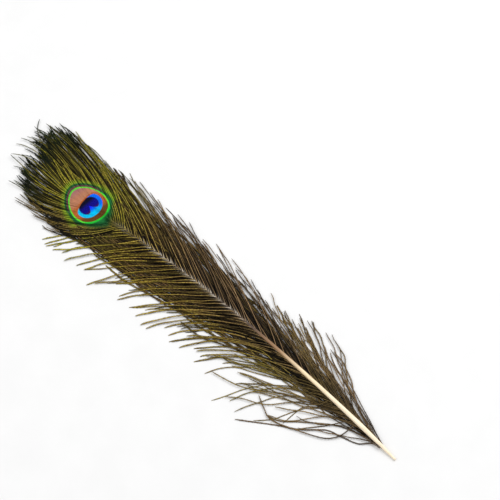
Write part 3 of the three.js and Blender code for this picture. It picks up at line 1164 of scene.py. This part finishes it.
class FEATHER_OT_vanes(bpy.types.Operator):
    """Makes the loose barbs along the middle of the shaft, over a layer of darker, more swept ones"""

    bl_idname = "feather.vanes"
    bl_label = "Vanes"

    def execute(self, context):
        barbs = context.scene.feather_barbs
        material = vane_material(barbs)
        spacing = barbs.barbule_spacing / MILLIMETRE
        reach = barbs.barbule_reach / MILLIMETRE
        pitch = barbs.vane_pitch / MILLIMETRE
        for side_name, side in SIDES.items():
            rng = np.random.default_rng(side["seed"] + VANE_SEED)
            node = f"{side_name}_vane"
            streaks = rng.uniform(0, 1, STREAKS)
            upper = Barbs(rng, spacing)
            span = (VANE_START, side["eye_start"])
            places = self.roots(span, pitch * side["pitch"], side["closing"], VANE_OPENING)
            for index, at in enumerate(places):
                self.add_upper_barb(upper, rng, index, at, side, reach, streaks)
            finish_piece(upper.make(f"{side_name}_vane_barbs", material), "vane_barbs", node)
            under = Barbs(rng, spacing * UNDER_SPACING)
            span = (VANE_START - UNDER_STARTS_BEFORE, side["eye_start"] - UNDER_ENDS_BEFORE)
            places = self.roots(span, pitch * UNDER_PITCH, UNDER_CLOSING, UNDER_OPENING)
            for index, at in enumerate(places):
                self.add_under_barb(under, rng, index, at, side, reach)
            finish_piece(under.make(f"{side_name}_under_barbs", material), "vane_barbs", node)
        return {"FINISHED"}

    def roots(self, span, pitch, closing, opening):
        """Places along a span of the shaft, closer together beside the eye and further apart
        beside the quill."""
        places = []
        at, end = span
        while at < end:
            places.append(at)
            near_quill = mix(opening, 1.0, change(at, ROOTS_CLOSE_UP))
            at += pitch * near_quill * mix(1.0, closing, change(at, ROOTS_MEET_EYE))
        return places

    def add_upper_barb(self, barbs, rng, index, at, side, reach, streaks):
        """All barbs on the right stand out at full length, and on the left every fourth one, or
        more beside the quill and the eye. The others are shorter and more swept. Apart from the
        left's long ones, every second barb is darker, and neighbours share a streak's tone."""
        at = at + rng.uniform(-0.3, 0.3)
        on_left = side["sign"] > 0
        regular = index % (2 if at > MORE_STAND_OUT_FROM else 4) == 0
        stands_out = regular or not on_left or at < ALL_STAND_OUT_BEFORE
        if stands_out:
            turn, stretch, curl = rng.normal(0, 2), rng.uniform(0.86, 1.04), rng.normal(0, 4)
        else:
            longest = 0.78 if index % 2 else 1.0
            turn, stretch, curl = rng.normal(-5, 3), rng.uniform(0.55, longest), rng.normal(-6, 4)
        if on_left:
            near_quill = 1 - change(at, QUILL_SWEEP_ENDS)
            turn -= 5 * near_quill * rng.uniform(0, 2)
            curl += 9 * near_quill
        plan = loose_plan(at, side, turn, stretch, curl)
        _, root_height = root_of_barb(at, side)
        beside_eye = change(at, BESIDE_EYE)
        rest_height = mix(rng.uniform(1.0, 1.7), rng.uniform(0.35, 0.6), beside_eye)
        lift = mix(-0.9, 0.0, beside_eye)
        path = lay_barb(
            plan, root_height, rest_height, rng, wave=rng.uniform(0.2, 0.8), tip_lift=lift
        )
        streak_weight = mix(0.4, 0.15, beside_eye)
        streak = streaks[int(at / STREAK_WIDTH)]
        tone = 1.25 * mix(rng.uniform(0.3, 1.0), streak, streak_weight)
        if stands_out and on_left:
            tone = max(tone, 0.7)
        elif index % 2:
            tone *= rng.uniform(*side["dark_tones"])
        tone *= mix(side["quill_tone"], 1.0, change(at, QUILL_SHADE_ENDS))
        near_eye = change(at, GOLD_GROWS)
        goldness = mix(side["quill_gold"], 1.0, change(at, BROWN_ENDS))
        root_gold = mix(0.1, 0.7, near_eye) * goldness
        tip_gold = mix(side["quill_tip_gold"], 1.0, near_eye) * goldness
        width = rng.uniform(*side["barbules"])
        barbs.add_barb(
            path,
            reach=reach * (1.12 if stands_out and on_left else width),
            rib=0.17,
            tone=(tone, max(tone, side["least_tip_tone"])),
            gold=(root_gold, tip_gold),
            bare=1.2,
            pale=mix(1.0, 0.25, beside_eye) * change(at, ROOTS_TURN_PALE) * rng.random() ** 1.5,
            narrow=side["outer_barbules"],
        )

    def add_under_barb(self, barbs, rng, index, at, side, reach):
        """Dark barbs that lie along the shaft, and fill the vane under the others."""
        at = at + rng.uniform(-0.8, 0.8)
        near_eye = change(at, UNDER_LAYER_SHORTENS)
        length = mix(rng.uniform(60, 98), rng.uniform(*side["under_lengths"]), near_eye)
        widest = mix(20.0, 28.5, near_eye)
        if side["sign"] > 0:
            widest = float(np.interp(at + length, *UNDER_EDGE))
        widest *= rng.uniform(0.85, 1.05)
        share = (index * EVEN_SPREAD % 1.0) ** 0.6
        leave = mix(*side["under_angles"], near_eye) * (0.5 + 0.5 * share)
        plan = swept_plan(at, side, length, widest * share, leave, arrive=rng.uniform(-5, 6))
        root_height = root_of_barb(at, side, hidden=True)[1] - 0.2
        rest_height = mix(rng.uniform(0.15, 0.9), 0.2, near_eye)
        path = lay_barb(plan, root_height, rest_height, rng, wave=rng.uniform(0.3, 0.9))
        barbs.add_barb(
            path,
            reach=reach * rng.uniform(1.1, 1.4) * side["under_barbules"],
            rib=0.14,
            # The under layer's low tones are partly these barbs' own darker colour and partly painted
            # shade under the upper barbs.
            tone=(rng.uniform(0.0, 0.12), rng.uniform(*side["under_tip_tones"]) ** 1.2),
            gold=(0.1, rng.uniform(0.1, 0.7)),
            bare=2.0,
        )


# The eye and its wisps draw their random numbers from their side's seed and these
EYE_SEED = 200
WISP_SEED = 300
WISP_TONE = (0.9, 0.6)
# The heights at which the eye's barbs rest, and its closed web
UPPER_LAYER = 0.8
WISP_LAYER = 0.9
UNDER_LAYER = 0.4
EYE_ROOT_DROP = 0.75
WEB_HEIGHT = 0.3
WEB_THICKNESS = 0.12
# How far past the ring the web reaches
WEB_MARGIN = 7.0
WEB_ROWS = 60
WEB_COLUMNS = 40
# How many rows on each side of a row its length is averaged with
WEB_SMOOTHING = 3
# The web's low tone paints it dark outside the ring, as shade under the eye's barbs.
WEB_LOOKS = {"across": 0.8, "tone": 0.1, "gold": 0.5, "pale": 0.0, "dusk": 0.0}
# The fringe's tufts: how much their lengths and the turns of their tips differ
TUFT_SPREAD = (2.4, 3.5)


class FEATHER_OT_eye(bpy.types.Operator):
    """Makes the dense barbs that carry the eye and its fringe, and the closed web behind the eye"""

    bl_idname = "feather.eye"
    bl_label = "Eye"

    def execute(self, context):
        barbs = context.scene.feather_barbs
        eye = context.scene.feather_eye
        spacing = barbs.barbule_spacing / MILLIMETRE
        reach = barbs.barbule_reach / MILLIMETRE
        top = eye_material(barbs, eye, "Eye barbs")
        # The backing lies under the top barbs and is painted 0.6 darker outside the ring, as shade.
        backing = eye_material(barbs, eye, "Eye backing", painted_shade=0.6)
        for side_name, side in SIDES.items():
            node = f"{side_name}_eye_vane"
            rng = np.random.default_rng(side["seed"] + EYE_SEED)
            upper = Barbs(rng, spacing)
            tufts = rng.normal(0, TUFT_SPREAD, (side["tufts"], 2))
            count = round(eye.eye_barbs * side["eye_barb_share"])
            for index in range(count):
                if index % 3 == 0:
                    streak = rng.uniform(0, 1)
                share = (index + 0.5 + rng.uniform(-0.12, 0.12)) / count
                tip_tone = 0.25 + 0.35 * streak + 0.5 * rng.uniform(0.0, 1.0)
                tone = (max(tip_tone, 0.8), tip_tone)
                if index % 2:
                    tone = (0.04, tip_tone * rng.uniform(0.05, 0.4))
                self.add_eye_barb(upper, rng, share, side, reach, UPPER_LAYER, tone, tufts)
            wisp_rng = np.random.default_rng(side["seed"] + WISP_SEED)
            for share, *wisp in side["wisps"]:
                self.add_eye_barb(
                    upper, wisp_rng, share, side, reach, WISP_LAYER, WISP_TONE, wisp=wisp
                )
            finish_piece(upper.make(f"{side_name}_eye_barbs", top), "eye_barbs", node)
            under = Barbs(rng, spacing * UNDER_SPACING)
            for share in np.linspace(0, 1, count * 2) ** 1.2:
                # The barbs under the eye get low tones as painted shade under the top barbs.
                tone = (rng.uniform(0, 0.2),) * 2
                shorter = side["eye_under_shorter"] * change(share, (0.3, 0.6))
                self.add_eye_barb(
                    under, rng, share, side, reach * 1.25, UNDER_LAYER, tone, shorter=shorter
                )
            finish_piece(under.make(f"{side_name}_eye_under_barbs", backing), "eye_barbs", node)
            web = self.make_web(f"{side_name}_eye_web", side, backing)
            finish_piece(web, "eye_barbs", node)
        return {"FINISHED"}

    def add_eye_barb(
        self, barbs, rng, share, side, reach, layer, tone, tufts=None, shorter=0.0, wisp=None
    ):
        """Each tuft is how much longer its barbs are, and how far their tips turn. A wisp is the
        same for one barb that curls out of the fringe."""
        outlier = rng.random() < mix(0.3, 0.0, share) and shorter == 0
        longer = rng.uniform(3, 10) if outlier else rng.uniform(-9, 2) - shorter
        turn = rng.normal(26, 16) * (1 - share) if outlier else rng.normal(2, 7)
        tip_share = share
        if tufts is not None:
            tuft = min(int(share * len(tufts)), len(tufts) - 1)
            tip_share = mix(share, (tuft + 0.5) / len(tufts), TUFT_GATHER)
            longer += tufts[tuft][0]
            turn += tufts[tuft][1]
        if wisp is not None:
            longer, turn = wisp
        plan = eye_plan(share, side, longer, turn, tip_share)
        _, root_height = root_of_barb(eye_barb_at(share, side), side)
        path = lay_barb(
            plan,
            root_height + layer - EYE_ROOT_DROP,
            layer + rng.uniform(-0.06, 0.06),
            rng,
            wave=rng.uniform(0.2, 0.7),
            waves=rng.uniform(1.0, 1.6),
            tip_lift=rng.uniform(-0.3, 1.4),
        )
        brown = side["eye_edge_brown"] * change(share, (0.4, 0.7))
        tip_tone = mix(tone[1], 0.55 + 0.45 * tone[1], brown if shorter == 0 else 0.0)
        barbs.add_barb(
            path,
            reach=reach,
            rib=0.1,
            tone=(tone[0], tip_tone),
            gold=(0.9, mix(rng.uniform(0.5, 1.0), 0.1, brown)),
            bare=mix(0.6, 2.4, change(share, (0.3, 0.55))),
            pale=0.2 * change(share, (0.7, 0.95)),
            dusk=rng.uniform(0.4, 1.0) * (1 - 0.7 * brown),
            narrow=0.66,
        )

    def make_web(self, name, side, material):
        """A closed sheet just under the eye's barbs, as far as the eye's outer band."""
        shares = np.linspace(0, 1, WEB_ROWS)
        plans = [eye_plan(share, side) for share in shares]
        ends = np.pad([self.end_near_ring(plan) for plan in plans], WEB_SMOOTHING, mode="edge")
        averaged = 2 * WEB_SMOOTHING + 1
        ends = np.convolve(ends, np.ones(averaged) / averaged, mode="valid")
        rows = []
        for share, plan, end in zip(shares, plans, ends):
            at = np.linspace(0, end, WEB_COLUMNS)
            _, barb_height = root_of_barb(eye_barb_at(share, side), side)
            root_height = max(barb_height - WEB_HEIGHT, WEB_HEIGHT)
            height = mix(root_height, WEB_HEIGHT, smooth_step(at, 0, DROOP_LENGTH))
            rows.append(np.column_stack([points_at(plan, run_of(plan), at), height]))
        top = np.concatenate(rows)
        bottom = top - [0, 0, WEB_THICKNESS]
        row, column = np.meshgrid(
            np.arange(WEB_ROWS - 1), np.arange(WEB_COLUMNS - 1), indexing="ij"
        )
        here = (row * WEB_COLUMNS + column).ravel()
        beyond = here + WEB_COLUMNS
        sheet = np.stack([here, here + 1, beyond + 1, beyond], axis=-1)[:, :: side["sign"]]
        rim = self.web_rim()[:: -side["sign"]]
        after = np.roll(rim, -1)
        count = len(top)
        walls = np.stack([rim, after, after + count, rim + count], axis=-1)
        quads = np.concatenate([sheet, sheet[:, ::-1] + count, walls])
        looks = {key: np.full(2 * count, value) for key, value in WEB_LOOKS.items()}
        return make_piece(name, np.concatenate([top, bottom]), quads, material, looks)

    def end_near_ring(self, plan):
        """How far along a barb the web reaches: to just outside the ring."""
        ahead, aside = (plan - RING_MIDDLE).T
        lengthwise = ahead / (RING_HALF_SIZE[0] + WEB_MARGIN)
        crosswise = aside / (RING_HALF_SIZE[1] + WEB_MARGIN) / (1 - RING_POINTEDNESS * lengthwise)
        near = np.hypot(lengthwise, crosswise) < 1
        return float(run_of(plan)[near].max()) if near.any() else WEB_MARGIN

    def web_rim(self):
        """The numbers of the points round the web's edge."""
        first = np.arange(WEB_COLUMNS - 1)
        right = np.arange(WEB_ROWS - 1) * WEB_COLUMNS + WEB_COLUMNS - 1
        last = (WEB_ROWS - 1) * WEB_COLUMNS + np.arange(WEB_COLUMNS - 1, 0, -1)
        left = np.arange(WEB_ROWS - 1, 0, -1) * WEB_COLUMNS
        return np.concatenate([first, right, last, left])


# The frame of the view: the pixels where the quill's end and the eye's middle are seen, in a
# square picture of VIEW_PIXELS a side, by a camera that looks down at the floor under its middle.
VIEW_PIXELS = 500.0
QUILL_END_PIXEL = (395.4, 460.1)
EYE_MIDDLE_PIXEL = (91.0, 206.0)
CAMERA_ELEVATION = math.radians(60.0)
CAMERA_DISTANCE = 0.59
CAMERA_NEAREST = 0.01
SENSOR_WIDTH = 36.0
FLOOR_HALF_WIDTH = 3.0
# The soft lights: where each stands over the middle of the view (right, away and up), its width,
# and its power beside the key light's
LIGHTS = {
    "Key": ((0.7, 0.55, 1.1), 1.1, 1.0),
    "Fill": ((-0.9, -0.3, 0.9), 0.9, 0.35),
}


def view_to_part(focal_pixels):
    """The matrix from the view's floor axes (right, away, up) to the part's frame, and the
    camera's place in those axes."""
    level = math.cos(CAMERA_ELEVATION)
    rise = math.sin(CAMERA_ELEVATION)
    camera = Vector((0, -CAMERA_DISTANCE * level, CAMERA_DISTANCE * rise))
    forward = Vector((0, level, -rise))
    up = Vector((0, rise, level))

    def floor_spot(pixel):
        right = pixel[0] - VIEW_PIXELS / 2
        down = pixel[1] - VIEW_PIXELS / 2
        ray = forward * focal_pixels + Vector((right, 0, 0)) - up * down
        return camera - ray * (camera.z / ray.z)

    quill = floor_spot(QUILL_END_PIXEL)
    lie = floor_spot(EYE_MIDDLE_PIXEL) - quill
    turn = Matrix.Rotation(-math.atan2(lie.y, lie.x), 4, "Z")
    shift = Matrix.Translation(Vector((QUILL_END[0], QUILL_END[1], 0)) * MILLIMETRE)
    return shift @ turn @ Matrix.Translation(-quill), camera


class FEATHER_OT_stage(bpy.types.Operator):
    """Makes the pale floor, the soft lights and the camera"""

    bl_idname = "feather.stage"
    bl_label = "Stage"

    def execute(self, context):
        scene = context.scene
        stage = scene.feather_stage
        to_part, camera_spot = view_to_part(stage.lens / SENSOR_WIDTH * VIEW_PIXELS)
        self.add_camera(scene, stage, to_part, camera_spot)
        self.add_floor(scene, stage)
        for name, (spot, width, share) in LIGHTS.items():
            self.add_light(scene, name, to_part @ Vector(spot), width, stage.key_power * share)
        world = bpy.data.worlds.new("Sky")
        world.use_nodes = True
        background = world.node_tree.nodes["Background"]
        background.inputs["Color"].default_value = (1.0, 1.0, 1.0, 1.0)
        background.inputs["Strength"].default_value = stage.sky
        scene.world = world
        scene.view_settings.view_transform = "Standard"
        return {"FINISHED"}

    def add_camera(self, scene, stage, to_part, spot):
        camera = bpy.data.cameras.new("Camera")
        camera.lens = stage.lens
        camera.sensor_width = SENSOR_WIDTH
        camera.clip_start = CAMERA_NEAREST
        holder = bpy.data.objects.new("Camera", camera)
        tilt = Matrix.Rotation(math.pi / 2 - CAMERA_ELEVATION, 4, "X")
        holder.matrix_world = to_part @ Matrix.Translation(spot) @ tilt
        scene.collection.objects.link(holder)
        scene.camera = holder

    def add_floor(self, scene, stage):
        mesh = bpy.data.meshes.new("floor")
        half = FLOOR_HALF_WIDTH
        corners = [(-half, -half, 0), (half, -half, 0), (half, half, 0), (-half, half, 0)]
        mesh.from_pydata(corners, [], [(0, 1, 2, 3)])
        mesh.materials.append(stage_material(stage))
        floor = bpy.data.objects.new("floor", mesh)
        scene.collection.objects.link(floor)

    def add_light(self, scene, name, place, width, power):
        light = bpy.data.lights.new(name, "AREA")
        light.shape = "SQUARE"
        light.size = width
        light.energy = power
        lamp = bpy.data.objects.new(name, light)
        aim = (-place).to_track_quat("-Z", "Y").to_matrix().to_4x4()
        lamp.matrix_world = Matrix.Translation(place) @ aim
        scene.collection.objects.link(lamp)


class FEATHER_PT_panel(bpy.types.Panel):
    """Lists the feather's pieces and their settings"""

    bl_label = "Peacock Feather"
    bl_idname = "FEATHER_PT_panel"
    bl_space_type = "VIEW_3D"
    bl_region_type = "UI"
    bl_category = "Feather"

    def draw(self, context):
        for operator in PIECE_OPERATORS:
            self.layout.operator(operator.bl_idname)
        for name, kind in SETTINGS.items():
            box = self.layout.box()
            for setting in kind.__annotations__:
                box.prop(getattr(context.scene, name), setting)


SETTINGS = {
    "feather_shaft": ShaftSettings,
    "feather_barbs": BarbSettings,
    "feather_eye": EyeSettings,
    "feather_stage": StageSettings,
}
PIECE_OPERATORS = (
    FEATHER_OT_stage,
    FEATHER_OT_shaft,
    FEATHER_OT_base_barbs,
    FEATHER_OT_vanes,
    FEATHER_OT_eye,
)
CLASSES = (*SETTINGS.values(), *PIECE_OPERATORS, FEATHER_PT_panel)


def register():
    for made in CLASSES:
        bpy.utils.register_class(made)
    for name, kind in SETTINGS.items():
        setattr(bpy.types.Scene, name, bpy.props.PointerProperty(type=kind))


def unregister():
    for name in SETTINGS:
        delattr(bpy.types.Scene, name)
    for made in reversed(CLASSES):
        bpy.utils.unregister_class(made)


def main():
    register()
    bpy.ops.feather.stage()
    bpy.ops.feather.shaft()
    bpy.ops.feather.base_barbs()
    bpy.ops.feather.vanes()
    bpy.ops.feather.eye()


if __name__ == "__main__":
    main()
